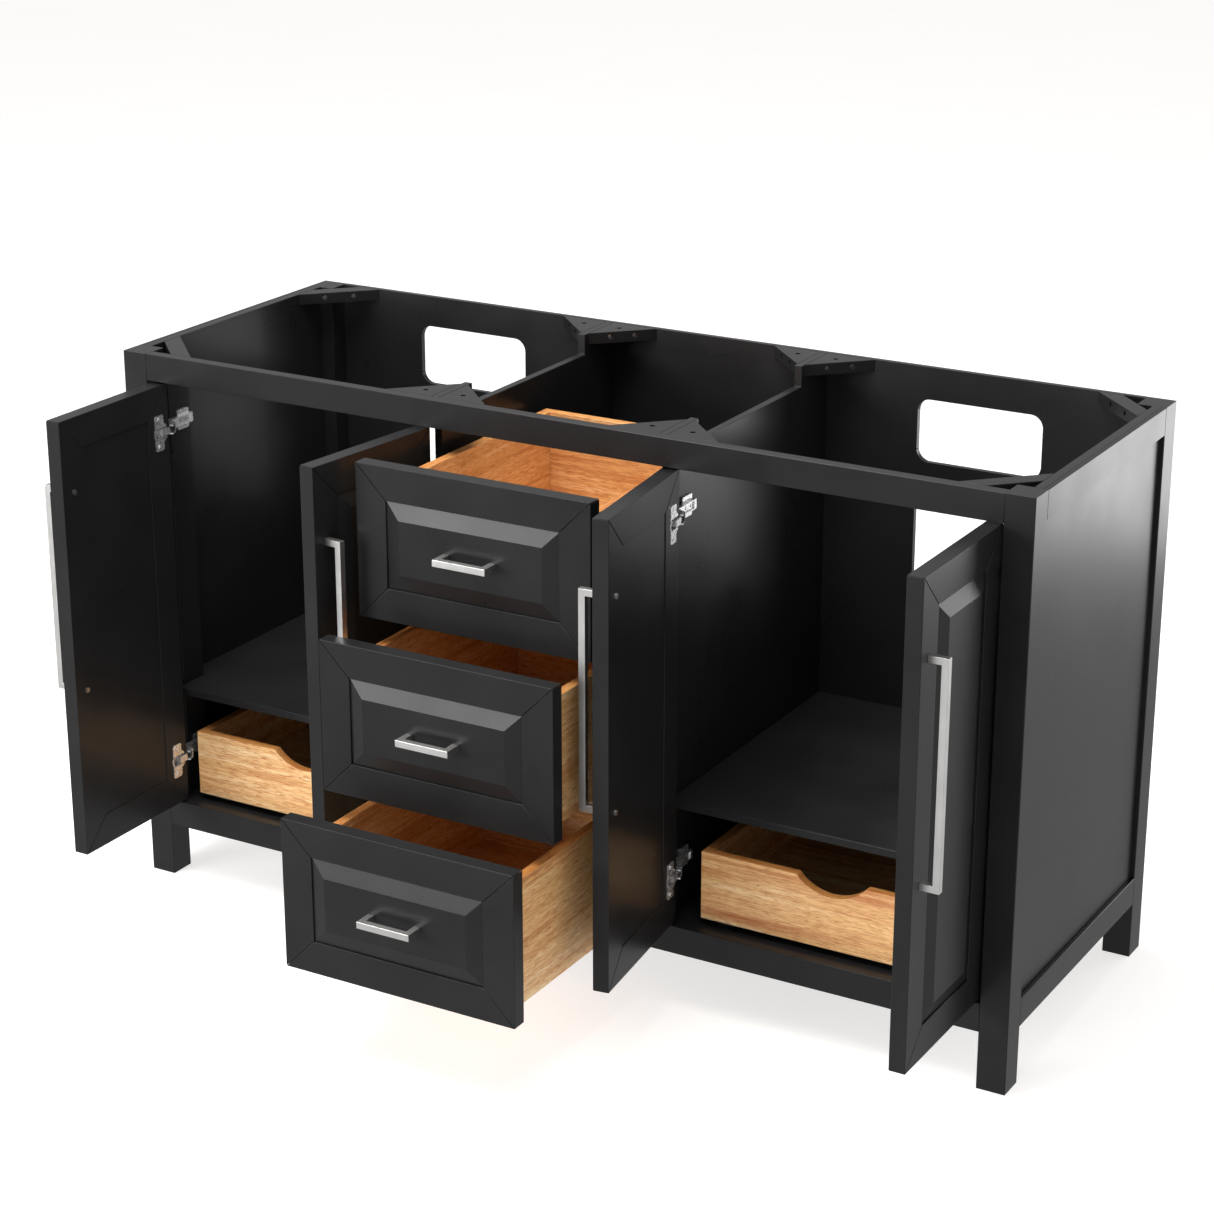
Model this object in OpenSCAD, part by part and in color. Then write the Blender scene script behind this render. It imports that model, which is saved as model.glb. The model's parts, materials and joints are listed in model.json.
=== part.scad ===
// Double-bowl bathroom vanity cabinet, without its countertop.
// Frame: X across the front (left is negative), Y from the room to the wall, Z up from the floor.
// The doors stand open, the three drawers are pulled out in steps and the two inner trays are pushed in.

/* [Carcass] */
// Width over the corner posts
width = 1500; // [1400:10:1600]
// Depth from the front face to the wall
depth = 537; // [530:1:580]
// Height from the floor to the top edge
height = 874; // [860:1:900]
// Side of the square corner posts
post = 44; // [40:1:50]
// Height of the bottom rails' lower edge above the floor
leg_clearance = 88; // [60:1:100]
// Height of the top rails
top_rail_h = 42; // [36:1:50]
// Height of the bottom rails
bottom_rail_h = 44; // [36:1:50]
// Thickness of the front rails
front_rail_t = 18.5; // [16:0.5:20]
// Thickness of the side rails, which stand proud of the side panels
side_rail_t = 6.5; // [5:0.5:9]
// Thickness of the side panels
side_panel_t = 14; // [12:0.5:16]
// Thickness of the back panel
back_t = 9.5; // [6:0.5:12]
// Thickness of the upright dividers beside the drawers
divider_t = 12.5; // [12:0.5:15]
// Thickness of the shelves and the bottom panel
shelf_t = 12; // [12:0.5:15]
// Height of the shelves' upper face
shelf_top = 318; // [300:1:330]

/* [Fronts] */
// Width of the drawer fronts
drawer_front_w = 382; // [370:1:400]
// Gap round every door and drawer front
reveal = 3; // [3:0.25:4]
// Thickness of the doors and drawer fronts
front_t = 24; // [24:0.5:26]
// Width of the mitred frame members
frame_w = 50; // [48:1:56]
// Width of the bevel round the raised field
bevel_w = 24; // [16:1:26]
// How far the raised field stands in front of the frame
field_proud = 5; // [2:0.5:6]
// How far the bevel's outer edge lies behind the frame's face
bevel_recess = 2.5; // [1:0.5:4]

/* [Pose] */
// Opening angle of the two outer doors
outer_door_open = 90; // [0:1:90]
// Opening angle of the two inner doors, which leaves the drawers free of their pulls
inner_door_open = 83; // [0:1:83]
// How far the top, middle and bottom drawers are pulled out
drawer_out = [185, 286, 391]; // [0:1:420]

/* [Drawers and trays] */
// Width of the drawer boxes
box_w = 330; // [310:1:330]
// Depth of the drawer boxes and trays
box_d = 450; // [400:5:450]
// Height of the drawer boxes
box_h = 190; // [150:1:190]
// Thickness of the box walls
box_wall = 15; // [12:1:16]
// Height of the trays
tray_h = 107; // [80:1:115]
// Width of the finger scoop in the tray's front
scoop_w = 110; // [80:1:130]
// Depth of the finger scoop
scoop_h = 25; // [15:1:35]

/* [Pulls] */
// Side of the square bar
pull_bar = 10; // [8:0.5:12]
// How far the pulls stand out
pull_reach = 29; // [25:0.5:29]
// Screw spacing of the door pulls
door_pull_cc = 315; // [160:5:320]
// Screw spacing of the drawer pulls
drawer_pull_cc = 76; // [64:1:128]
// Height of the middle of the door pulls above the floor
door_pull_z = 558; // [450:1:600]

/* [Hidden] */
$fn = 48;
EPS = 0.05;                      // overlap of cutting tools
EDGE = 0.8;                      // small chamfer on board edges
LACQUER = [0.22, 0.22, 0.23];
WOOD = [0.86, 0.68, 0.44];
METAL = [0.82, 0.82, 0.83];

half_w = width / 2;
post_x = half_w - post;          // inner face of the posts
panel_x0 = half_w - side_rail_t - side_panel_t;
panel_x1 = half_w - side_rail_t;
back_y = depth - back_t;         // inner face of the back panel
rear_post_y = depth - post;
top_rail_z = height - top_rail_h;
base_z = leg_clearance + bottom_rail_h;

// Fronts: heights and widths that fill the opening between the rails and posts
front_z0 = base_z + reveal;
front_h = top_rail_z - base_z - 2 * reveal;
drawer_edge = drawer_front_w / 2;
door_w = (post_x - drawer_edge - 3 * reveal) / 2;
drawer_front_h = (front_h - 2 * reveal) / 3;
function drawer_z(i) = front_z0 + (2 - i) * (drawer_front_h + reveal);

divider_x0 = drawer_edge - 7.5;  // face towards the drawers
divider_x1 = divider_x0 + divider_t;
divider_top = height - 32.5;     // the divider's edge between its two tall ends
divider_tab_front = 110;
divider_tab_rear = 438;

// Bottom panel, shelves and the stiles that the outer hinges screw to
bottom_top = base_z - 2;
stile_proud = 5;
stile_y1 = post + 51;
stile_top = height - 24;
shelf_y0 = front_t + 6;
pin_y = [121, 421];
pin_z = [shelf_top - shelf_t / 2, shelf_top + 58, shelf_top + 122];
PIN_R = 2.5;
PIN_DEPTH = 8;

// Back panel cut-outs, one pair behind each bowl
cutout_x = 450;
cutout_w = 202;
cutout_r = 20;
upper_cutout_z = [725, 824];
lower_cutout_z = [510, 690];

// Corner blocks and braces under the countertop
block_leg = 80;
block_t = 18;
block_hole_in = 26;
BLOCK_HOLE_R = 4;
block_screw_offset = 14.2;
brace_outer = 57.5;
brace_inner = 96;
brace_screw_offset = 17.3;
SCREW_BORE_R = 4;
SCREW_BORE_DEPTH = 10;
SCREW_HEAD_R = 3.6;

// Doors turn about one axis, given from the opening's side face and the front plane
pivot_u = 9.5;
pivot_y = 5.6;
hinge_z = [front_z0 + 74.5, front_z0 + front_h - 74.5];
cup_u = reveal + 20;
CUP_R = 15;
CUP_DEPTH = 12;
FLANGE_T = 1.4;
FLANGE_H = 56;
flange_u = [17, 37];
WINDOW_H = 17;                   // opening in the flange for the arm
LINK_H = 10;
LINK_T = 4.4;
NECK_R = [20.2, 26];
NECK_CHEEK = 2;
NECK_H = 15;
WEB_R = [27.6, 29.2];

// Pulls are fixed with screws from inside
PULL_SCREW_R = 2;
PULL_BORE_R = 2.3;
PULL_SCREW_GRIP = 8;
PULL_HEAD_R = 4;
PULL_HEAD_T = 2;

// Drawer boxes, trays and their runners
box_z_in = 4;                    // box bottom above the front's lower edge
RUNNER_DROP = 12.7;              // the box bottom's height above the box's lower edge
FLOOR_T = 9;
RUNNER_T = 1.5;
runner_x = 139;                  // middle of each drawer runner
tray_z = base_z + 8.5;
tray_y0 = shelf_y0;
tray_x0 = drawer_edge + 60;      // clear of an inner door that stands open
tray_x1 = post_x - 37.5;         // clear of an outer door and its hinges
tray_runner_in = 32;
scoop_r = (pow(scoop_w / 2, 2) + pow(scoop_h, 2)) / (2 * scoop_h);

// The origin is on the floor in the middle of the object's box, with the bottom drawer out
front_y = (drawer_out[2] + field_proud + pull_reach - depth) / 2;

// ---- Shared shapes ----

// A box from its lowest and highest corners
module block(lo, hi) {
    translate(lo) cube(hi - lo);
}

function chamfered(a, b, c) = [
    [a[0] + c, b[0]], [a[1] - c, b[0]], [a[1], b[0] + c], [a[1], b[1] - c],
    [a[1] - c, b[1]], [a[0] + c, b[1]], [a[0], b[1] - c], [a[0], b[0] + c]
];

// Boards that run along X, Y or Z, with a small chamfer on their long edges
module board_x(x, y, z, c = EDGE) {
    translate([x[0], 0, 0]) rotate([90, 0, 90])
        linear_extrude(x[1] - x[0]) polygon(chamfered(y, z, c));
}

module board_y(x, y, z, c = EDGE) {
    translate([0, y[1], 0]) rotate([90, 0, 0])
        linear_extrude(y[1] - y[0]) polygon(chamfered(x, z, c));
}

module board_z(x, y, z, c = EDGE) {
    translate([0, 0, z[0]]) linear_extrude(z[1] - z[0]) polygon(chamfered(x, y, c));
}

module along_y(x, y0, y1, z, r) {
    translate([x, y1, z]) rotate([90, 0, 0]) cylinder(h = y1 - y0, r = r);
}

module along_x(x0, x1, y, z, r) {
    translate([x0, y, z]) rotate([0, 90, 0]) cylinder(h = x1 - x0, r = r);
}

module both_sides() {
    children();
    mirror([1, 0, 0]) children();
}

// From the cabinet's own lines (front plane at Y = 0) to the part's frame
module placed() {
    translate([0, front_y, 0]) children();
}

// ---- Carcass ----

module mirrored(side) {
    if (side < 0) mirror([1, 0, 0]) children();
    else children();
}

module post_at(side, rear) {
    y0 = rear ? rear_post_y : 0;
    color(LACQUER) placed() mirrored(side)
        board_z([post_x, half_w], [y0, y0 + post], [0, height], 1.2);
}

module front_rail(z0, z1) {
    color(LACQUER) placed() board_x([-post_x, post_x], [0, front_rail_t], [z0, z1]);
}

module pin_holes(x0, x1) {
    for (y = pin_y, z = pin_z) along_x(x0, x1, y, z, PIN_R + 0.05);
}

module side_panel(side) {
    color(LACQUER) placed() mirrored(side) difference() {
        board_y([panel_x0, panel_x1], [post, rear_post_y], [leg_clearance, height], 0.4);
        pin_holes(panel_x0 - 1, panel_x0 + PIN_DEPTH);
    }
}

module side_rails() {
    color(LACQUER) placed() both_sides() {
        board_y([panel_x1, half_w], [post, rear_post_y], [top_rail_z, height]);
        board_y([panel_x1, half_w], [post, rear_post_y], [leg_clearance, base_z]);
    }
}

module divider_outline() {
    clear_y = front_t + 2;
    polygon([
        [clear_y, bottom_top], [back_y, bottom_top], [back_y, height], [divider_tab_rear, height],
        [divider_tab_rear, divider_top], [divider_tab_front, divider_top],
        [divider_tab_front, height], [front_rail_t, height], [front_rail_t, top_rail_z + 1],
        [clear_y, top_rail_z + 1]
    ]);
}

module divider(side) {
    color(LACQUER) placed() mirrored(side) difference() {
        translate([divider_x0, 0, 0]) rotate([90, 0, 90]) linear_extrude(divider_t) divider_outline();
        pin_holes(divider_x1 - PIN_DEPTH, divider_x1 + 1);
    }
}

module rounded_window(x, z, r) {
    for (sx = [x[0] + r, x[1] - r], sz = [z[0] + r, z[1] - r])
        translate([sx, sz]) circle(r);
    translate([x[0] + r, z[0]]) square([x[1] - x[0] - 2 * r, z[1] - z[0]]);
    translate([x[0], z[0] + r]) square([x[1] - x[0], z[1] - z[0] - 2 * r]);
}

module back_panel() {
    color(LACQUER) placed() translate([0, depth, 0]) rotate([90, 0, 0]) linear_extrude(back_t)
        difference() {
            translate([-post_x, leg_clearance]) square([2 * post_x, height - leg_clearance]);
            for (s = [-1, 1], z = [upper_cutout_z, lower_cutout_z])
                rounded_window([s * cutout_x - cutout_w / 2, s * cutout_x + cutout_w / 2], z, cutout_r);
        }
}

module hinge_stiles() {
    color(LACQUER) placed() both_sides()
        board_z([post_x - stile_proud, panel_x0], [post, stile_y1], [bottom_top, stile_top]);
}

// A shelf between a divider and a side panel, cut round the post and the hinge stile
module shelf_at(side) {
    fit = 0.5;
    color(LACQUER) placed() mirrored(side) difference() {
        translate([0, 0, shelf_top - shelf_t]) linear_extrude(shelf_t) polygon([
            [divider_x1 + fit, shelf_y0], [post_x - stile_proud - fit, shelf_y0],
            [post_x - stile_proud - fit, stile_y1 + fit], [panel_x0 - fit, stile_y1 + fit],
            [panel_x0 - fit, rear_post_y - fit], [post_x - fit, rear_post_y - fit],
            [post_x - fit, back_y - fit], [divider_x1 + fit, back_y - fit]
        ]);
        for (y = pin_y) {
            along_x(divider_x1, divider_x1 + PIN_DEPTH, y, pin_z[0], PIN_R + 0.05);
            along_x(panel_x0 - PIN_DEPTH, panel_x0, y, pin_z[0], PIN_R + 0.05);
        }
    }
}

module bottom_panel() {
    color(LACQUER) placed() translate([0, 0, bottom_top - shelf_t]) linear_extrude(shelf_t)
        difference() {
            translate([-panel_x0, front_rail_t]) square([2 * panel_x0, back_y - front_rail_t]);
            for (s = [-1, 1], y = [0, rear_post_y])
                translate([s > 0 ? post_x : -half_w, y - EPS]) square([post, post + EPS]);
        }
}

// ---- Blocks and braces under the countertop ----

// Children are drawn at each of the four inner corners, with X and Y running from the corner
module at_carcass_corners() {
    both_sides() {
        translate([panel_x0, front_rail_t, 0]) mirror([1, 0, 0]) children();
        translate([panel_x0, back_y, 0]) mirror([1, 0, 0]) mirror([0, 1, 0]) children();
    }
}

// The same at both faces of both dividers, at the front and at the back
module at_divider_corners() {
    both_sides() {
        for (s = [0, 1]) translate([s > 0 ? divider_x1 : divider_x0, 0, 0]) mirror([1 - s, 0, 0]) {
            translate([0, front_rail_t, 0]) children();
            translate([0, back_y, 0]) mirror([0, 1, 0]) children();
        }
    }
}

// Two bores square to a 45 degree face whose points add up to reach, either side of its middle
module face_bores(reach, offset, depth_in, r, out = 1) {
    for (s = [-1, 1])
        translate([reach / 2 + s * offset, reach / 2 - s * offset, height - block_t / 2 + 1])
            rotate([0, 0, 225]) rotate([0, 90, 0]) translate([0, 0, -out])
                cylinder(h = depth_in + out, r = r);
}

module divider_blocks() {
    color(LACQUER) placed() at_divider_corners() difference() {
        translate([0, 0, height - block_t]) linear_extrude(block_t)
            polygon([[0, 0], [block_leg, 0], [0, block_leg]]);
        translate([block_hole_in, block_hole_in, height - block_t - 1])
            cylinder(h = block_t + 2, r = BLOCK_HOLE_R);
        face_bores(block_leg, block_screw_offset, SCREW_BORE_DEPTH, SCREW_BORE_R);
    }
}

module corner_braces() {
    color(LACQUER) placed() at_carcass_corners() difference() {
        translate([0, 0, height - block_t]) linear_extrude(block_t)
            polygon([[0, brace_outer], [brace_outer, 0], [brace_inner, 0], [0, brace_inner]]);
        face_bores(brace_inner, brace_screw_offset, SCREW_BORE_DEPTH, SCREW_BORE_R);
    }
}

// The screws lie deep in their bores
module bore_screws(reach, offset) {
    difference() {
        face_bores(reach, offset, SCREW_BORE_DEPTH, SCREW_HEAD_R, 0);
        face_bores(reach, offset, SCREW_BORE_DEPTH - 3, SCREW_BORE_R, 1);
    }
}

module frame_screws() {
    color(METAL) placed() {
        at_divider_corners() bore_screws(block_leg, block_screw_offset);
        at_carcass_corners() bore_screws(brace_inner, brace_screw_offset);
    }
}

module shelf_pins() {
    reach = PIN_DEPTH - 0.5;
    color(METAL) placed() both_sides() for (y = pin_y) {
        along_x(divider_x1 - reach, divider_x1 + reach, y, pin_z[0], PIN_R);
        along_x(panel_x0 - reach, panel_x0 + reach, y, pin_z[0], PIN_R);
    }
}

// ---- Doors ----
// A door is drawn closed: u runs from the opening's side face, at the hinges, to the free edge.

// The four doors, from left to right: place of the side face, hand and opening angle
door_x = [-post_x, -drawer_edge, drawer_edge, post_x];
door_hand = [1, -1, 1, -1];
door_open = [outer_door_open, inner_door_open, inner_door_open, outer_door_open];

module hinge_side(i) {
    placed() translate([door_x[i], 0, 0]) mirror([door_hand[i] < 0 ? 1 : 0, 0, 0]) children();
}

module opened_door(i) {
    hinge_side(i) translate([pivot_u, pivot_y, 0]) rotate([0, 0, -door_open[i]])
        translate([-pivot_u, -pivot_y, 0]) children();
}

// One mitred frame of four members, in the XZ plane; a fine line is left open at each mitre
module mitred_frame(x0, z0, w, h, t) {
    mitre = 0.35;
    f = frame_w;
    translate([x0, t, z0]) rotate([90, 0, 0]) linear_extrude(t) {
        polygon([[0, mitre], [f, f + mitre], [f, h - f - mitre], [0, h - mitre]]);
        polygon([[w, mitre], [w - f, f + mitre], [w - f, h - f - mitre], [w, h - mitre]]);
        polygon([[mitre, 0], [w - mitre, 0], [w - f - mitre, f], [f + mitre, f]]);
        polygon([[mitre, h], [w - mitre, h], [w - f - mitre, h - f], [f + mitre, h - f]]);
    }
}

panel_back = front_t - 1.5;      // the panel's back lies just behind the frame's back

function bevel_outline(w) = [
    [0, panel_back], [0, bevel_recess], [bevel_w, -field_proud], [w - bevel_w, -field_proud],
    [w, bevel_recess], [w, panel_back]
];

// A raised panel that fills a frame: its bevels meet in clean mitres
module raised_panel(x0, z0, w, h) {
    play = 0.3;
    pw = w - 2 * frame_w - 2 * play;
    ph = h - 2 * frame_w - 2 * play;
    translate([x0 + frame_w + play, 0, z0 + frame_w + play]) intersection() {
        linear_extrude(ph) polygon(bevel_outline(pw));
        rotate([90, 0, 90]) linear_extrude(pw)
            polygon([for (p = bevel_outline(ph)) [p[1], p[0]]]);
    }
}

// A square bar on two legs, with its two screws. s is the screws' middle spot, dir its direction
module bar_pull(cc, upright, face_y, head_y) {
    b = pull_bar / 2;
    reach = upright ? [b, cc / 2 + b] : [cc / 2 + b, b];
    bar_y = face_y - pull_reach;
    difference() {
        union() {
            block([-reach[0], bar_y, -reach[1]], [reach[0], bar_y + pull_bar, reach[1]]);
            for (s = [-1, 1]) translate(upright ? [0, 0, s * cc / 2] : [s * cc / 2, 0, 0])
                block([-b, bar_y, -b], [b, face_y, b]);
        }
        for (s = [-1, 1]) translate(upright ? [0, 0, s * cc / 2] : [s * cc / 2, 0, 0])
            along_y(0, face_y - PULL_SCREW_GRIP - 0.5, face_y + 1, 0, PULL_SCREW_R + EPS);
    }
    for (s = [-1, 1]) translate(upright ? [0, 0, s * cc / 2] : [s * cc / 2, 0, 0]) {
        along_y(0, face_y - PULL_SCREW_GRIP, head_y, 0, PULL_SCREW_R);
        along_y(0, head_y, head_y + PULL_HEAD_T, 0, PULL_HEAD_R);
    }
}

pull_u = reveal + door_w - frame_w / 2;

module door_frame(i) {
    color(LACQUER) opened_door(i) difference() {
        mitred_frame(reveal, front_z0, door_w, front_h, front_t);
        for (z = hinge_z) along_y(cup_u, front_t - CUP_DEPTH, front_t + 1, z, CUP_R + EPS);
        for (s = [-1, 1])
            along_y(pull_u, -1, front_t + 1, door_pull_z + s * door_pull_cc / 2, PULL_BORE_R);
    }
}

module door_panel(i) {
    color(LACQUER) opened_door(i) raised_panel(reveal, front_z0, door_w, front_h);
}

module door_pull(i) {
    color(METAL) opened_door(i) translate([pull_u, 0, door_pull_z])
        bar_pull(door_pull_cc, true, 0, front_t);
}

// The door's half of one hinge: cup, flange and link
module hinge_cup() {
    wall = 1;
    difference() {
        union() {
            along_y(cup_u, front_t - CUP_DEPTH, front_t, 0, CUP_R);
            along_y(cup_u, front_t, front_t + FLANGE_T, 0, CUP_R + 1);
            board_y(flange_u, [front_t, front_t + FLANGE_T], [-FLANGE_H / 2, FLANGE_H / 2], 2);
        }
        intersection() {
            along_y(cup_u, front_t - CUP_DEPTH + wall, front_t + 2, 0, CUP_R - wall);
            block([cup_u - CUP_R, 0, -WINDOW_H / 2], [cup_u + CUP_R, front_t + 3, WINDOW_H / 2]);
        }
        block([-1, front_t - EPS, -WINDOW_H / 2], [cup_u, front_t + 2, WINDOW_H / 2]);
    }
    block([reveal + 3, front_t + 0.2, -LINK_H / 2], [cup_u + 1, front_t + LINK_T, LINK_H / 2]);
    block([cup_u - 3, front_t - CUP_DEPTH + wall, -LINK_H / 2], [cup_u + 1, front_t + 1, LINK_H / 2]);
    for (s = [-1, 1])
        along_y(flange_u[1] - 9, front_t + FLANGE_T, front_t + FLANGE_T + 1.2, s * 21.5, 3.2);
}

module door_hinges(i) {
    color(METAL) opened_door(i) for (z = hinge_z) translate([0, 0, z]) hinge_cup();
}

// Points of an arc round the pivot
function pivot_arc(r, a0, a1, n = 8) = [
    for (k = [0:n]) let (a = a0 + (a1 - a0) * k / n) [pivot_u + r * cos(a), pivot_y + r * sin(a)]
];

// The cabinet's half of one hinge: mounting plate, arm and the neck that curves into the cup
module hinge_arm() {
    h = NECK_H / 2;
    back = stile_proud + 2;
    front = stile_proud + 8;
    end = stile_y1 - 4;
    slot = h - NECK_CHEEK;
    difference() {
        translate([0, 0, -h]) linear_extrude(2 * h) polygon(concat(
            pivot_arc(NECK_R[0], 23, 88), [[back, pivot_y + WEB_R[0] - 1], [back, end], [front, end]],
            pivot_arc(WEB_R[1], 80, 45), pivot_arc(NECK_R[1], 40, 23)
        ));
        translate([pivot_u, pivot_y, -slot]) cylinder(h = 2 * slot, r = WEB_R[0]);
        block([front - 2, end - 40, -slot], [front + 1, end - 6, slot]);
        along_x(back + 1, front, end - 14, 0, 2.2);
        along_x(back + 1, front, end - 30, 0, 2.2);
    }
    board_x([stile_proud, back + 1], [end - 32, end - 4], [-16, 16], 2);
}

module hinge_arms() {
    color(METAL) for (i = [0:3]) hinge_side(i) for (z = hinge_z) translate([0, 0, z]) hinge_arm();
}

// ---- Drawers ----

module drawer_at(i, share = 1) {
    placed() translate([0, -share * drawer_out[i], drawer_z(i)]) children();
}

module drawer_frame(i) {
    color(LACQUER) drawer_at(i)
        mitred_frame(-drawer_edge, 0, drawer_front_w, drawer_front_h, front_t);
}

module drawer_pull_bores(y0, y1) {
    for (s = [-1, 1]) along_y(s * drawer_pull_cc / 2, y0, y1, drawer_front_h / 2, PULL_BORE_R);
}

module drawer_panel(i) {
    color(LACQUER) drawer_at(i) difference() {
        raised_panel(-drawer_edge, 0, drawer_front_w, drawer_front_h);
        drawer_pull_bores(-field_proud - 1, front_t);
    }
}

module drawer_pull(i) {
    color(METAL) drawer_at(i) translate([0, 0, drawer_front_h / 2])
        bar_pull(drawer_pull_cc, false, -field_proud, front_t + box_wall);
}

// An open box: four walls and a raised bottom, with the back wall cut off above the runners
module open_box(x, y, z0, h) {
    difference() {
        block([x[0], y[0], z0], [x[1], y[1], z0 + h]);
        block([x[0] + box_wall, y[0] + box_wall, z0 + RUNNER_DROP + FLOOR_T],
              [x[1] - box_wall, y[1] - box_wall, z0 + h + 1]);
        block([x[0] + box_wall, y[0] + box_wall, z0 - 1],
              [x[1] - box_wall, y[1] + 1, z0 + RUNNER_DROP]);
    }
}

module drawer_box(i) {
    color(WOOD) drawer_at(i) difference() {
        open_box([-box_w / 2, box_w / 2], [front_t, front_t + box_d], box_z_in, box_h);
        drawer_pull_bores(front_t - 1, front_t + box_wall + 1);
    }
}

// A profile in the XZ plane, run along the length of a box
module run_of(y0, y1) {
    translate([0, y1, 0]) rotate([90, 0, 0]) linear_extrude(y1 - y0) children();
}

module rect(x, z) {
    translate([x[0], z[0]]) square([x[1] - x[0], z[1] - z[0]]);
}

runner_y = [front_t + box_wall + 1, front_t + box_d - box_wall - 1];

// Fixed rail: a flange on the divider, a web under the box and a lip
module drawer_rail_outline() {
    z = box_z_in;
    t = RUNNER_T;
    rect([runner_x - 10, divider_x0], [z - 6, z - 6 + t]);
    rect([divider_x0 - t, divider_x0], [z - 6, z + 14]);
    rect([runner_x - 10, runner_x - 10 + t], [z - 6, z + 3]);
}

// Middle member, which travels half as far as the drawer
module slide_outline() {
    z = box_z_in;
    t = RUNNER_T;
    rect([runner_x - 7.7, runner_x + 7.7], [z - 3.7, z - 3.7 + t]);
    for (s = [-1, 1])
        translate([s < 0 ? runner_x - 7.7 : runner_x + 7.7 - t, z - 3.7]) square([t, 11]);
}

// Moving member under the box
module runner_outline() {
    z = box_z_in;
    t = RUNNER_T;
    rect([runner_x - 9.5, runner_x + 9.5], [z + RUNNER_DROP - t, z + RUNNER_DROP]);
    rect([runner_x - 9.5, runner_x - 9.5 + t], [z + 3.6, z + RUNNER_DROP]);
    rect([runner_x + 8.2, runner_x + 8.2 + t], [z - 3.2, z + RUNNER_DROP]);
}

module drawer_runners(i) {
    color(METAL) drawer_at(i) both_sides() run_of(runner_y[0], runner_y[1]) runner_outline();
}

module drawer_slides(i) {
    color(METAL) drawer_at(i, 0.5) both_sides() run_of(runner_y[0], runner_y[1]) slide_outline();
}

// ---- Trays ----

tray_y1 = tray_y0 + box_d;

module tray_box(side) {
    middle = (tray_x0 + tray_x1) / 2;
    color(WOOD) placed() mirrored(side) difference() {
        open_box([tray_x0, tray_x1], [tray_y0, tray_y1], tray_z, tray_h);
        along_y(middle, tray_y0 - 1, tray_y0 + box_wall + 1,
                tray_z + tray_h - scoop_h + scoop_r, scoop_r, $fn = 96);
    }
}

tray_runner_x = [tray_x0 + tray_runner_in, tray_x1 - tray_runner_in];
tray_runner_y = [tray_y0 + box_wall + 1, tray_y1 - box_wall - 1];

module tray_runners(side) {
    t = RUNNER_T;
    top = tray_z + RUNNER_DROP;
    color(METAL) placed() mirrored(side) run_of(tray_runner_y[0], tray_runner_y[1])
        for (c = tray_runner_x) {
            rect([c - 9.5, c + 9.5], [top - t, top]);
            rect([c - 9.5, c - 9.5 + t], [top - 16, top]);
            rect([c + 9.5 - t, c + 9.5], [top - 16, top]);
        }
}

// Tray rails stand on the bottom panel; drawer rails are fixed to the dividers
module runner_rails() {
    top = tray_z + RUNNER_DROP;
    color(METAL) placed() both_sides() {
        run_of(tray_runner_y[0], tray_runner_y[1]) for (c = tray_runner_x) {
            rect([c - 14, c + 14], [bottom_top, bottom_top + RUNNER_T]);
            rect([c - 7, c + 7], [bottom_top, top - 3]);
        }
        for (i = [0:2]) translate([0, 0, drawer_z(i)])
            run_of(runner_y[0], runner_y[1]) drawer_rail_outline();
    }
}

// ---- Nodes ----

post_at(-1, false);  // post_front_left
post_at(1, false);  // post_front_right
post_at(-1, true);  // post_rear_left
post_at(1, true);  // post_rear_right
front_rail(top_rail_z, height);  // top_rail_front
front_rail(leg_clearance, base_z);  // bottom_rail_front
side_panel(-1);  // side_panel_left
side_panel(1);  // side_panel_right
side_rails();
divider(-1);  // divider_left
divider(1);  // divider_right
back_panel();
hinge_stiles();
shelf_at(-1);  // shelf_left
shelf_at(1);  // shelf_right
bottom_panel();
corner_braces();
divider_blocks();
frame_screws();
shelf_pins();
hinge_arms();
runner_rails();
door_frame(0);  // door_1_frame
door_panel(0);  // door_1_panel
door_pull(0);  // door_1_pull
door_hinges(0);  // door_1_hinges
door_frame(1);  // door_2_frame
door_panel(1);  // door_2_panel
door_pull(1);  // door_2_pull
door_hinges(1);  // door_2_hinges
door_frame(2);  // door_3_frame
door_panel(2);  // door_3_panel
door_pull(2);  // door_3_pull
door_hinges(2);  // door_3_hinges
door_frame(3);  // door_4_frame
door_panel(3);  // door_4_panel
door_pull(3);  // door_4_pull
door_hinges(3);  // door_4_hinges
drawer_frame(0);  // drawer_1_frame
drawer_panel(0);  // drawer_1_panel
drawer_pull(0);  // drawer_1_pull
drawer_box(0);  // drawer_1_box
drawer_runners(0);  // drawer_1_runners
drawer_slides(0);  // drawer_1_slides
drawer_frame(1);  // drawer_2_frame
drawer_panel(1);  // drawer_2_panel
drawer_pull(1);  // drawer_2_pull
drawer_box(1);  // drawer_2_box
drawer_runners(1);  // drawer_2_runners
drawer_slides(1);  // drawer_2_slides
drawer_frame(2);  // drawer_3_frame
drawer_panel(2);  // drawer_3_panel
drawer_pull(2);  // drawer_3_pull
drawer_box(2);  // drawer_3_box
drawer_runners(2);  // drawer_3_runners
drawer_slides(2);  // drawer_3_slides
tray_box(-1);  // tray_left_box
tray_runners(-1);  // tray_left_runners
tray_box(1);  // tray_right_box
tray_runners(1);  // tray_right_runners
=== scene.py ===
"""Looks of the double-bowl bathroom vanity cabinet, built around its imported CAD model."""

import json
import math

import bmesh
import bpy
from mathutils import Matrix, Vector


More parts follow.
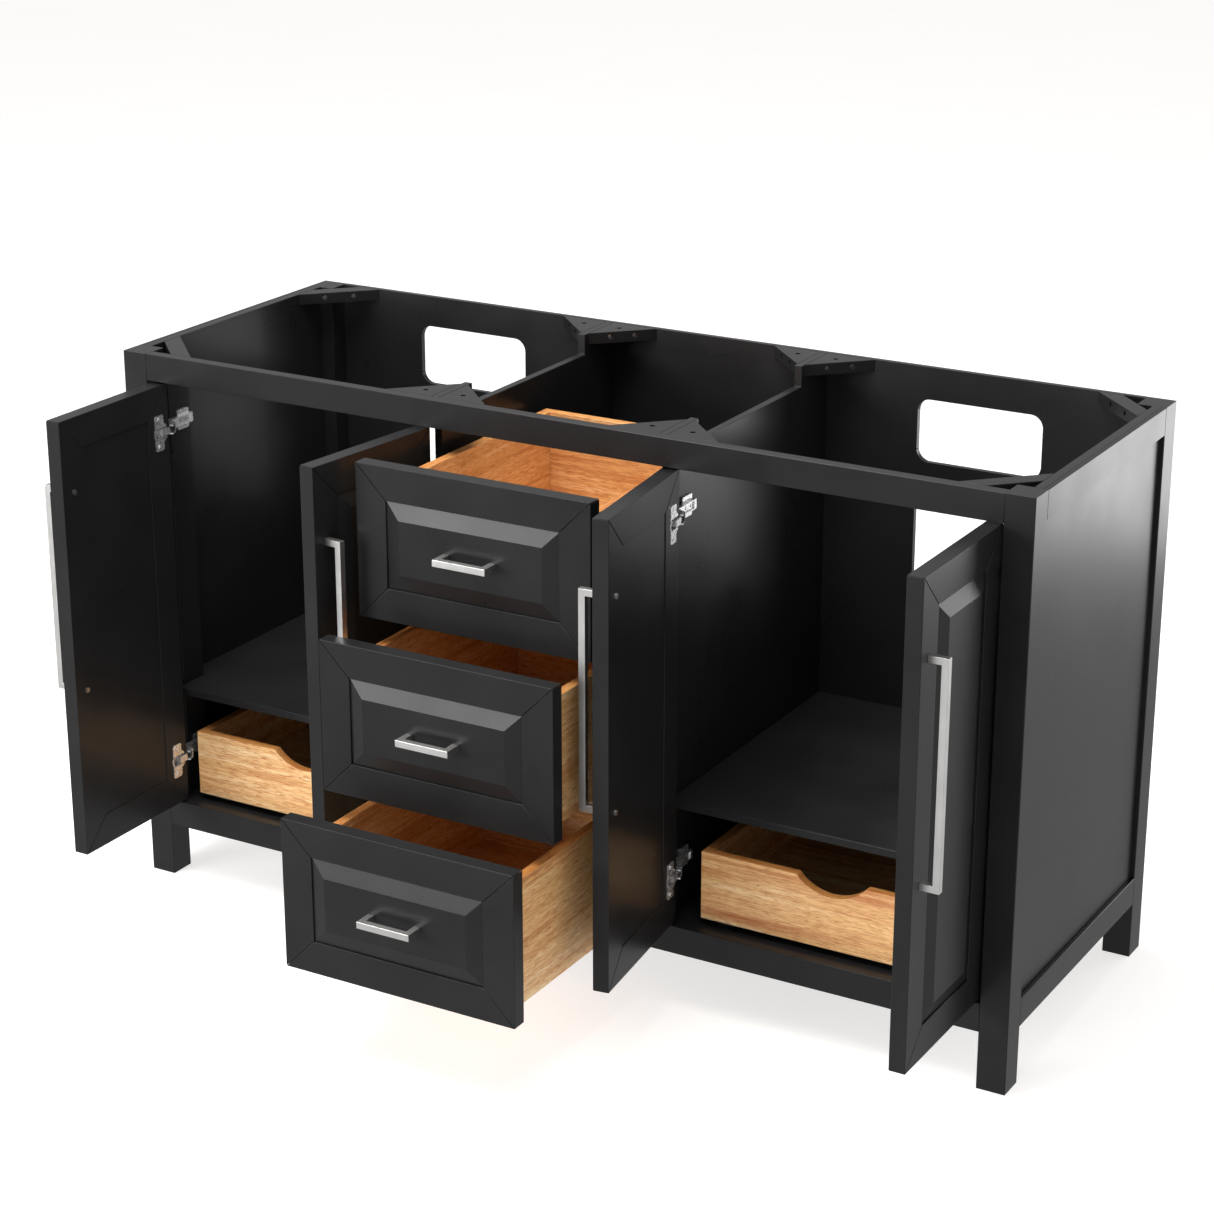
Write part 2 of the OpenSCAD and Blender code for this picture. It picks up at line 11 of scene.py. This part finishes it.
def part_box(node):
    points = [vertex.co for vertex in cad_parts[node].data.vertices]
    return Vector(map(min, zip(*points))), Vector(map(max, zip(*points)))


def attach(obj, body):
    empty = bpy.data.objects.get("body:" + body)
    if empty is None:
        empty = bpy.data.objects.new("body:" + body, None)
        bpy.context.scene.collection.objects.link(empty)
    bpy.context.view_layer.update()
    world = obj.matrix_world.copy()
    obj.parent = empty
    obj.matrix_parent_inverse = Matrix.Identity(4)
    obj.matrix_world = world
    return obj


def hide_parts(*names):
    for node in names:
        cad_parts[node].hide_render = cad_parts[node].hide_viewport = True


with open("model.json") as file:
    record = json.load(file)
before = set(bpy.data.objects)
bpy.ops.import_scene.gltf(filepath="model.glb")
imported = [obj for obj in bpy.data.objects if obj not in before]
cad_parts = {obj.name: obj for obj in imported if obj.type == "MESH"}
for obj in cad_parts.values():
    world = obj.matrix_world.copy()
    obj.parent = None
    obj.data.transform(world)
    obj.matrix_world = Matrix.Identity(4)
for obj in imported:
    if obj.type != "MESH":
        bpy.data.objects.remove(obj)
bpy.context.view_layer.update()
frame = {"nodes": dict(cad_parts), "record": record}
NODES = frame["nodes"]
BODIES = frame["record"]["behaviour"]["bodies"]
SLOTS = {s["node"]: s["material_slot"] for s in frame["record"]["subparts"]}
BODY_OF = {node: body for body, members in BODIES.items() for node in members}
MM = 0.001


# ---- Node helpers ----

def srgb(red, green, blue):
    """A colour given as 0 to 255 on a screen, as the linear values that shaders use."""
    shares = [part / 255 for part in (red, green, blue)]
    linear = [((share + 0.055) / 1.055) ** 2.4 if share > 0.04045 else share / 12.92 for share in shares]
    return (*linear, 1.0)


class Material:
    """A material with its Principled shader and short calls for the nodes in front of it."""

    SOCKETS = {
        "metallic": "Metallic",
        "roughness": "Roughness",
        "specular": "Specular IOR Level",
        "coat": "Coat Weight",
        "coat_roughness": "Coat Roughness",
        "glow": "Emission Strength",
        "glow_colour": "Emission Color",
    }

    def __init__(self, name, **values):
        self.data = bpy.data.materials.new(name)
        self.data.use_nodes = True
        self.tree = self.data.node_tree
        self.shader = self.tree.nodes["Principled BSDF"]
        for key, value in values.items():
            self.shader.inputs[self.SOCKETS[key]].default_value = value

    def node(self, kind, **values):
        made = self.tree.nodes.new(kind)
        for key, value in values.items():
            setattr(made, key, value)
        return made

    def link(self, source, target):
        self.tree.links.new(source, target)

    def coordinates(self, scale=(1, 1, 1)):
        """The object's own coordinates in metres, scaled."""
        source = self.node("ShaderNodeTexCoord")
        mapping = self.node("ShaderNodeMapping")
        mapping.inputs["Scale"].default_value = scale
        self.link(source.outputs["Object"], mapping.inputs["Vector"])
        return mapping.outputs["Vector"]

    def noise(self, vector, scale, detail=2.0, roughness=0.5, distortion=0.0):
        made = self.node("ShaderNodeTexNoise")
        made.inputs["Scale"].default_value = scale
        made.inputs["Detail"].default_value = detail
        made.inputs["Roughness"].default_value = roughness
        made.inputs["Distortion"].default_value = distortion
        self.link(vector, made.inputs["Vector"])
        return made.outputs["Fac"]

    def spread(self, value, low, high, to_low, to_high):
        """value from low..high, held to to_low..to_high."""
        made = self.node("ShaderNodeMapRange")
        for name, number in (("From Min", low), ("From Max", high), ("To Min", to_low), ("To Max", to_high)):
            made.inputs[name].default_value = number
        self.link(value, made.inputs["Value"])
        return made.outputs["Result"]

    def math(self, operation, a, b):
        made = self.node("ShaderNodeMath", operation=operation)
        for socket, value in zip(made.inputs, (a, b)):
            if isinstance(value, (int, float)):
                socket.default_value = value
            else:
                self.link(value, socket)
        return made.outputs["Value"]

    def ramp(self, value, stops):
        made = self.node("ShaderNodeValToRGB")
        elements = made.color_ramp.elements
        while len(elements) < len(stops):
            elements.new(0.5)
        for element, (place, colour) in zip(elements, stops):
            element.position = place
            element.color = colour
        self.link(value, made.inputs["Fac"])
        return made.outputs["Color"]

    def mix(self, factor, a, b, blend="MIX"):
        made = self.node("ShaderNodeMix", data_type="RGBA", blend_type=blend)
        for name, value in (("Factor", factor), ("A", a), ("B", b)):
            socket = next(s for s in made.inputs if s.name == name and s.enabled)
            if isinstance(value, (int, float, tuple)):
                socket.default_value = value
            else:
                self.link(value, socket)
        return next(s for s in made.outputs if s.enabled)

    def bump(self, height, strength, depth):
        made = self.node("ShaderNodeBump")
        made.inputs["Strength"].default_value = strength
        made.inputs["Distance"].default_value = depth
        self.link(height, made.inputs["Height"])
        self.link(made.outputs["Normal"], self.shader.inputs["Normal"])

    def colour(self, socket):
        self.link(socket, self.shader.inputs["Base Color"])

    def roughness(self, socket):
        self.link(socket, self.shader.inputs["Roughness"])


# ---- Materials ----

def charcoal_lacquer():
    """Sprayed satin lacquer: a fine orange peel, faint clouds in colour and gloss."""
    m = Material("charcoal_lacquer", specular=0.22)
    space = m.coordinates()
    clouds = m.noise(space, scale=9.0, detail=3.0)
    peel = m.noise(space, scale=240.0, detail=1.0)
    m.colour(m.ramp(clouds, [(0.30, srgb(29, 29, 30)), (0.70, srgb(34, 34, 35))]))
    m.roughness(m.spread(clouds, 0.3, 0.7, to_low=0.27, to_high=0.33))
    m.bump(peel, strength=0.06, depth=0.2 * MM)
    return m.data


# Pale, middle and dark tone of the wood.
WOOD_TONES = {
    "face": (srgb(250, 226, 182), srgb(233, 187, 128), srgb(186, 110, 56)),
    "edge": (srgb(222, 164, 98), srgb(198, 130, 68), srgb(160, 92, 44)),
}
STREAK_TONE = (0.60, 0.42, 0.28, 1.0)
WHITE = (1.0, 1.0, 1.0, 1.0)
FIGURE_SHIFT = (9.0, 5.0, 7.0)  # furthest that chance moves a board's figure along X, Y and Z, in metres


def wood(name, tones, figure=1.0):
    """Pale open-grained wood. The grain runs along the board's own X axis."""
    pale, middle, dark = tones
    m = Material(name, specular=0.4, coat=0.12, coat_roughness=0.3)
    source = m.node("ShaderNodeTexCoord")
    chance = m.node("ShaderNodeObjectInfo").outputs["Random"]
    offset = m.node("ShaderNodeCombineXYZ")
    for axis, furthest in zip("XYZ", FIGURE_SHIFT):
        m.link(m.math("MULTIPLY", chance, furthest), offset.inputs[axis])
    moved = m.node("ShaderNodeVectorMath", operation="ADD")
    m.link(source.outputs["Object"], moved.inputs[0])
    m.link(offset.outputs["Vector"], moved.inputs[1])

    def stretched(scale):
        mapping = m.node("ShaderNodeMapping")
        mapping.inputs["Scale"].default_value = scale
        m.link(moved.outputs["Vector"], mapping.inputs["Vector"])
        return mapping.outputs["Vector"]

    broad = m.noise(stretched((1.2, 12.0, 12.0)), scale=1.0, distortion=1.2)
    bands = m.noise(stretched((3.0, 85.0, 85.0)), scale=1.0, detail=4.0, roughness=0.62, distortion=0.9)
    fibres = m.noise(stretched((46.0, 580.0, 580.0)), scale=1.0, detail=4.0, roughness=0.7)
    pores = m.noise(stretched((62.0, 640.0, 640.0)), scale=1.0, detail=1.0)
    tone = m.math("ADD", m.math("MULTIPLY", bands, 0.62), m.math("MULTIPLY", broad, 0.38 * figure))
    base = m.ramp(tone, [(0.30, pale), (0.50, middle), (0.72, dark)])
    streaks = m.ramp(fibres, [(0.38, STREAK_TONE), (0.58, WHITE)])
    dashes = m.spread(pores, 0.58, 0.68, to_low=0.0, to_high=0.8)
    toned = m.mix(0.6, base, streaks, blend="MULTIPLY")
    m.colour(m.mix(dashes, toned, dark))
    m.roughness(m.spread(fibres, 0.3, 0.7, to_low=0.52, to_high=0.38))
    relief = m.math("SUBTRACT", fibres, m.math("MULTIPLY", dashes, 0.6))
    m.bump(relief, strength=0.18, depth=0.2 * MM)
    return m.data


def satin_nickel():
    """Brushed bar stock: fine upright hair lines and a soft gloss."""
    m = Material("satin_nickel", metallic=1.0)
    hair = m.noise(m.coordinates(scale=(2400.0, 2400.0, 60.0)), scale=1.0)
    clouds = m.noise(m.coordinates(), scale=30.0)
    m.colour(m.ramp(clouds, [(0.3, srgb(218, 217, 214)), (0.7, srgb(232, 231, 229))]))
    m.roughness(m.spread(hair, 0.3, 0.7, to_low=0.28, to_high=0.42))
    m.bump(hair, strength=0.05, depth=0.1 * MM)
    return m.data


def bright_steel(name, pale, dark, roughness):
    """Plated pressed steel with faint handling marks."""
    m = Material(name, metallic=0.82)
    marks = m.noise(m.coordinates(), scale=160.0, detail=4.0, roughness=0.7)
    m.colour(m.ramp(marks, [(0.35, dark), (0.65, pale)]))
    m.roughness(m.spread(marks, 0.3, 0.7, to_low=roughness - 0.05, to_high=roughness + 0.09))
    m.bump(marks, strength=0.04, depth=0.2 * MM)
    return m.data


def studio_floor():
    """Matt floor that glows a little, so that it looks as white as the surroundings."""
    m = Material("studio_floor", roughness=0.9, specular=0.0, glow=0.70, glow_colour=(1.0, 0.99, 0.985, 1.0))
    grain = m.noise(m.coordinates(), scale=3.0)
    m.colour(m.ramp(grain, [(0.3, srgb(199, 195, 191)), (0.7, srgb(202, 198, 194))]))
    return m.data


FINISH = {
    "charcoal_lacquer": charcoal_lacquer(),
    "light_oak": wood("light_oak", WOOD_TONES["face"]),
    "light_oak_edge": wood("light_oak_edge", WOOD_TONES["edge"], figure=0.6),
    "satin_nickel": satin_nickel(),
    "hinge_steel": bright_steel("hinge_steel", srgb(244, 244, 244), srgb(222, 222, 224), 0.26),
    "runner_steel": bright_steel("runner_steel", srgb(158, 158, 160), srgb(132, 132, 135), 0.5),
}


# ---- Pieces made from the CAD meshes, with softened edges ----

def finish_piece(piece, body, slot, *replaced):
    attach(piece, body)
    if replaced:
        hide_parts(*replaced)
    return piece


def linked(name, mesh):
    made = bpy.data.objects.new(name, mesh)
    bpy.context.scene.collection.objects.link(made)
    return made


CREASE = math.radians(7)
CORNER = math.radians(50)
THIN_STRIP = 1.6 * MM
SHORTEST_ROUNDED = 4 * MM
ROUND_SEGMENTS = 2
SAME_POINT = 0.002 * MM
SAME_PLANE = math.radians(0.6)


def strip_width(face):
    return face.calc_area() / max(edge.calc_length() for edge in face.edges)


def mark_edges(form, round_corners=True):
    """Long corners get a small round. Creases stay crisp, and chamfers and curved walls stay smooth."""
    weight = form.edges.layers.float.new("bevel_weight_edge")
    for face in form.faces:
        face.smooth = True
    for edge in form.edges:
        turn = edge.calc_face_angle(math.pi)
        wide = all(strip_width(face) > THIN_STRIP for face in edge.link_faces)
        if round_corners and turn > CORNER and wide and edge.calc_length() > SHORTEST_ROUNDED:
            edge[weight] = 1.0
        elif turn > CORNER or (turn > CREASE and wide):
            edge.smooth = False


def rounded(piece, radius):
    """Rounds the marked edges. The large faces keep their own direction, so they stay flat in the light."""
    bevel = piece.modifiers.new("edges", "BEVEL")
    bevel.width = radius
    bevel.segments = ROUND_SEGMENTS
    bevel.limit_method = "WEIGHT"
    flat = piece.modifiers.new("flat", "WEIGHTED_NORMAL")
    flat.mode = "FACE_AREA"
    flat.weight = 100  # the largest face alone decides
    flat.keep_sharp = True


def softened(node, radius):
    """A copy of a CAD node in its place, with clean flat faces. A radius rounds its sharp corners."""
    mesh = NODES[node].data.copy()
    mesh.materials.clear()
    mesh.materials.append(FINISH[SLOTS[node]])
    form = bmesh.new()
    form.from_mesh(mesh)
    bmesh.ops.remove_doubles(form, verts=form.verts, dist=SAME_POINT)
    bmesh.ops.dissolve_limit(form, angle_limit=SAME_PLANE, verts=form.verts, edges=form.edges)
    for face in form.faces:
        face.material_index = 0
    mark_edges(form, radius > 0)
    form.to_mesh(mesh)
    form.free()
    imported = mesh.attributes.get("custom_normal")
    if imported:
        mesh.attributes.remove(imported)
    piece = linked(node + "_finished", mesh)
    if radius > 0:
        rounded(piece, radius)
    return finish_piece(piece, BODY_OF[node], SLOTS[node], node)


LACQUER_EDGE = 0.9 * MM
NICKEL_EDGE = 0.5 * MM
for name, slot in SLOTS.items():
    if name.endswith("_panel") and name.startswith(("door", "drawer")):
        softened(name, 0)
    elif slot == "charcoal_lacquer":
        softened(name, LACQUER_EDGE)
    elif slot == "satin_nickel":
        softened(name, NICKEL_EDGE)
    elif slot == "light_oak":
        continue
    else:
        NODES[name].data.materials.clear()
        NODES[name].data.materials.append(FINISH[slot])


# ---- Wooden boxes, board by board ----

WALL = 15 * MM
FLOOR_RISE = 12.7 * MM
FLOOR_THICK = 9 * MM
WOOD_EDGE = 0.8 * MM
TALL_BOARD = 20 * MM
ALONG = {"X": Matrix.Identity(4), "Y": Matrix.Rotation(math.radians(90), 4, "Z")}


def facing(face, axis):
    return abs(face.normal[axis]) > 0.5


def wooden(name, form, place, body):
    """A wooden piece from a form whose faces carry 0 for the board's face and 1 for its edge."""
    mark_edges(form)
    mesh = bpy.data.meshes.new(name)
    form.to_mesh(mesh)
    form.free()
    mesh.materials.append(FINISH["light_oak"])
    mesh.materials.append(FINISH["light_oak_edge"])
    piece = linked(name, mesh)
    piece.matrix_world = place
    rounded(piece, WOOD_EDGE)
    return finish_piece(piece, body, "light_oak")


def board(name, low, high, along, body):
    """One board of a box. Its own X axis follows the grain, so the wood's figure runs along it."""
    low, high = Vector(low), Vector(high)
    size, turn = high - low, ALONG[along]
    form = bmesh.new()
    bmesh.ops.create_cube(form, size=1.0)
    bmesh.ops.scale(form, vec=size, verts=form.verts)
    bmesh.ops.transform(form, matrix=turn.inverted(), verts=form.verts)
    for face in form.faces:
        face.material_index = 1 if facing(face, 2) and size.z > TALL_BOARD else 0
    return wooden(name, form, Matrix.Translation((low + high) / 2) @ turn, body)


SCOOP_WIDTH = 110 * MM
SCOOP_DEPTH = 25 * MM
SCOOP_STEPS = 24


def scooped_front(name, low, high, body):
    """The front board of a tray, with the round finger scoop in its top edge."""
    (x0, y0, z0), (x1, y1, z1) = low, high
    centre, half = (x0 + x1) / 2, SCOOP_WIDTH / 2
    radius = (half**2 + SCOOP_DEPTH**2) / (2 * SCOOP_DEPTH)
    reach = math.asin(half / radius)
    outline = [(x0, z0), (x1, z0), (x1, z1)]
    for step in range(SCOOP_STEPS + 1):
        angle = reach - 2 * reach * step / SCOOP_STEPS
        rise = radius * (1 - math.cos(angle))
        outline.append((centre + radius * math.sin(angle), z1 - SCOOP_DEPTH + rise))
    outline.append((x0, z1))
    middle = Vector((centre, (y0 + y1) / 2, (z0 + z1) / 2))
    form = bmesh.new()
    front = [form.verts.new(Vector((x, y0, z)) - middle) for x, z in outline]
    back = [form.verts.new(Vector((x, y1, z)) - middle) for x, z in outline]
    form.faces.new(front)
    form.faces.new(back[::-1])
    for k in range(len(outline)):
        after = (k + 1) % len(outline)
        form.faces.new((front[after], front[k], back[k], back[after]))
    bmesh.ops.recalc_face_normals(form, faces=form.faces)
    for face in form.faces:
        face.material_index = 0 if facing(face, 1) else 1
    return wooden(name, form, Matrix.Translation(middle), body)


def wooden_box(node):
    """Sides, back, bottom and front of a drawer box or tray. Together they stand in for its CAD node."""
    (x0, y0, z0), (x1, y1, z1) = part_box(node)
    body = BODY_OF[node]
    left, right, front_back, back_front = x0 + WALL, x1 - WALL, y0 + WALL, y1 - WALL
    floor = z0 + FLOOR_RISE
    board(f"{node}_side_1", (x0, front_back, z0), (left, y1, z1), "Y", body)
    board(f"{node}_side_2", (right, front_back, z0), (x1, y1, z1), "Y", body)
    board(f"{node}_back", (left, back_front, floor), (right, y1, z1), "X", body)
    board(f"{node}_bottom", (left, front_back, floor), (right, back_front, floor + FLOOR_THICK), "X", body)
    front_low, front_high = (x0, y0, z0), (x1, front_back, z1)
    if node.startswith("tray"):
        front = scooped_front(f"{node}_front", front_low, front_high, body)
    else:
        front = board(f"{node}_front", front_low, front_high, "X", body)
    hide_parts(node)


for name, slot in SLOTS.items():
    if slot == "light_oak":
        wooden_box(name)


# ---- Studio: camera, lights and floor ----

CAMERA_PLACE = Vector((2.034, -3.3876, 1.9954))
CAMERA_YAW = 30.011
CAMERA_PITCH = 19.812
CAMERA_LENS = 84.93
SENSOR_WIDTH = 36.0
FLOOR_REACH = 14.0
FLOOR_CELLS = 8
FLOOR_DROP = 0.5 * MM
SURROUNDINGS_SEEN = 1.05
# Brightness as light, at places from straight down (0) over the horizon (0.5) to straight up (1).
SURROUNDINGS_LIGHT = ((0.47, 0.57), (0.53, 0.53), (0.80, 0.42))
CABINET_MIDDLE = (0.0, 0.0, 0.45)


def add_camera():
    data = bpy.data.cameras.new("camera")
    data.sensor_width = SENSOR_WIDTH
    data.lens = CAMERA_LENS
    camera = bpy.data.objects.new("camera", data)
    camera.location = CAMERA_PLACE
    camera.rotation_euler = (math.radians(90 - CAMERA_PITCH), 0, math.radians(CAMERA_YAW))
    bpy.context.scene.collection.objects.link(camera)
    bpy.context.scene.camera = camera


def softbox(name, place, target, size, power, tint=(1.0, 1.0, 1.0)):
    data = bpy.data.lights.new(name, "AREA")
    data.shape = "RECTANGLE"
    data.size, data.size_y = size
    data.energy = power
    data.color = tint
    lamp = bpy.data.objects.new(name, data)
    lamp.location = place
    lamp.rotation_mode = "QUATERNION"
    lamp.rotation_quaternion = (Vector(target) - Vector(place)).to_track_quat("-Z", "Y")
    lamp.visible_camera = False
    bpy.context.scene.collection.objects.link(lamp)


def add_floor():
    mesh = bpy.data.meshes.new("floor")
    form = bmesh.new()
    bmesh.ops.create_grid(form, x_segments=FLOOR_CELLS, y_segments=FLOOR_CELLS, size=FLOOR_REACH)
    form.to_mesh(mesh)
    form.free()
    mesh.materials.append(studio_floor())
    floor = linked("floor", mesh)
    floor.location.z = -FLOOR_DROP
    floor.visible_glossy = False


def add_world():
    """White where the camera sees it. As light it is dimmer, most of all overhead."""
    world = bpy.data.worlds.new("studio")
    world.use_nodes = True
    tree = world.node_tree
    lighting = tree.nodes["Background"]
    seen = tree.nodes.new("ShaderNodeBackground")
    seen.inputs["Color"].default_value = WHITE
    seen.inputs["Strength"].default_value = SURROUNDINGS_SEEN
    direction = tree.nodes.new("ShaderNodeTexCoord")
    split = tree.nodes.new("ShaderNodeSeparateXYZ")
    ramp = tree.nodes.new("ShaderNodeValToRGB")
    height = tree.nodes.new("ShaderNodeMapRange")
    for name, number in (("From Min", -1.0), ("From Max", 1.0)):
        height.inputs[name].default_value = number
    elements = ramp.color_ramp.elements
    elements.new(0.5)
    for element, (place, level) in zip(elements, SURROUNDINGS_LIGHT):
        element.position = place
        element.color = (level, level, level, 1.0)
    paths = tree.nodes.new("ShaderNodeLightPath")
    choice = tree.nodes.new("ShaderNodeMixShader")
    link = tree.links.new
    link(direction.outputs["Generated"], split.inputs["Vector"])
    link(split.outputs["Z"], height.inputs["Value"])
    link(height.outputs["Result"], ramp.inputs["Fac"])
    link(ramp.outputs["Color"], lighting.inputs["Color"])
    link(paths.outputs["Is Camera Ray"], choice.inputs["Fac"])
    link(lighting.outputs["Background"], choice.inputs[1])
    link(seen.outputs["Background"], choice.inputs[2])
    link(choice.outputs["Shader"], tree.nodes["World Output"].inputs["Surface"])
    bpy.context.scene.world = world


add_camera()
add_world()
add_floor()
softbox(
    "overhead",
    place=(-0.6, -0.6, 4.4), target=CABINET_MIDDLE, size=(3.4, 2.6), power=260, tint=(1.0, 0.99, 0.97),
)
softbox("back_right", place=(1.62, 2.25, 0.58), target=(0.75, 0.0, 0.7), size=(1.1, 1.1), power=18)
softbox("front_left", place=(-3.0, -4.5, 1.67), target=(0.0, 0.0, 0.6), size=(3.2, 1.4), power=205)
bpy.context.scene.view_settings.view_transform = "Standard"
bpy.context.scene.view_settings.look = "None"
